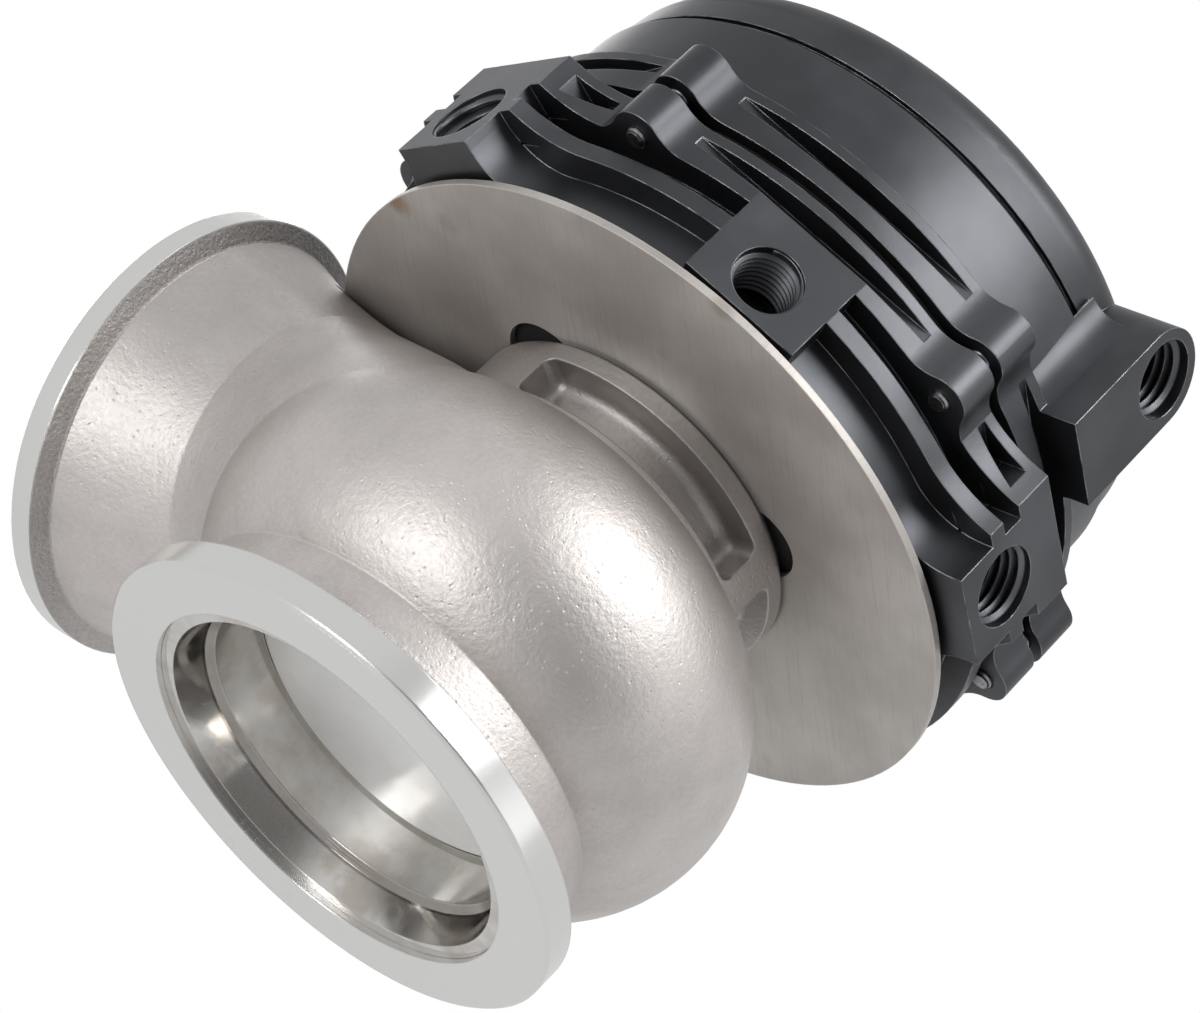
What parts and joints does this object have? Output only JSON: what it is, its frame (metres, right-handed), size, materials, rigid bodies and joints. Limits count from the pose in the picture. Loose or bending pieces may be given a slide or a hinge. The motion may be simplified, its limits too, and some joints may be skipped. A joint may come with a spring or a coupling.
{
  "type": "wastegate",
  "caption": "External exhaust wastegate with V-band inlet and side outlet, cast body, heat shield, ported lower housing and domed diaphragm actuator cap.",
  "frame": {"origin": "centre of the inlet flange face, on the valve axis", "axes": "+Z runs along the valve axis from the inlet to the actuator cap; +X points out of the outlet; +Y completes a right-handed frame"},
  "size_m": [0.1031, 0.0968, 0.1025],
  "materials": {
    "valve_body": "satin cast stainless steel, machined flange faces",
    "valve_seat": "turned heat-resistant steel",
    "valve": "turned heat-resistant steel",
    "valve_guide": "bronze, turned",
    "stem_scraper": "ground steel",
    "neck_gasket": "graphite",
    "heat_shield": "rolled stainless sheet, lightly scratched",
    "shield_core": "rolled stainless sheet",
    "insulator": "pressed ceramic fibre",
    "neck_screws": "black oxide steel",
    "lower_housing": "black anodised, satin",
    "jacket_cover": "turned, bare",
    "jacket_seals": "fluoroelastomer",
    "stem_bush": "bronze, turned",
    "stem_seal": "moulded",
    "seal_retainer": "pressed steel",
    "diaphragm": "fabric-reinforced rubber",
    "lower_plate": "turned, bare",
    "piston": "turned, bare",
    "stem_washer": "zinc plated steel",
    "stem_nut": "zinc plated steel",
    "outer_spring": "shot-peened spring steel",
    "inner_spring": "shot-peened spring steel",
    "cap": "black anodised, satin",
    "flange_screws": "steel, rolled threads"
  },
  "bodies": {
    "housing": {"valve_body": "valve_body", "valve_seat": "valve_seat", "valve_guide": "valve_guide", "stem_scraper": "stem_scraper", "neck_gasket": "neck_gasket", "heat_shield": "heat_shield", "shield_core": "shield_core", "insulator": "insulator", "neck_screws": "neck_screws", "lower_housing": "lower_housing", "jacket_cover": "jacket_cover", "jacket_seals": "jacket_seals", "stem_bush": "stem_bush", "stem_seal": "stem_seal", "seal_retainer": "seal_retainer", "diaphragm": "diaphragm", "outer_spring": "outer_spring", "inner_spring": "inner_spring", "cap": "cap", "flange_screws": "flange_screws"},
    "valve": {"valve": "valve", "lower_plate": "lower_plate", "piston": "piston", "stem_washer": "stem_washer", "stem_nut": "stem_nut"}
  },
  "joints": [
    {"name": "valve_lift", "type": "slide", "parent": "housing", "child": "valve", "axis": [0, 0, 1], "range_m": [0, 0.0095], "stiffness_N_per_m": 12000, "springref_m": -0.012, "deforming": ["outer_spring", "inner_spring", "diaphragm"]}
  ]
}
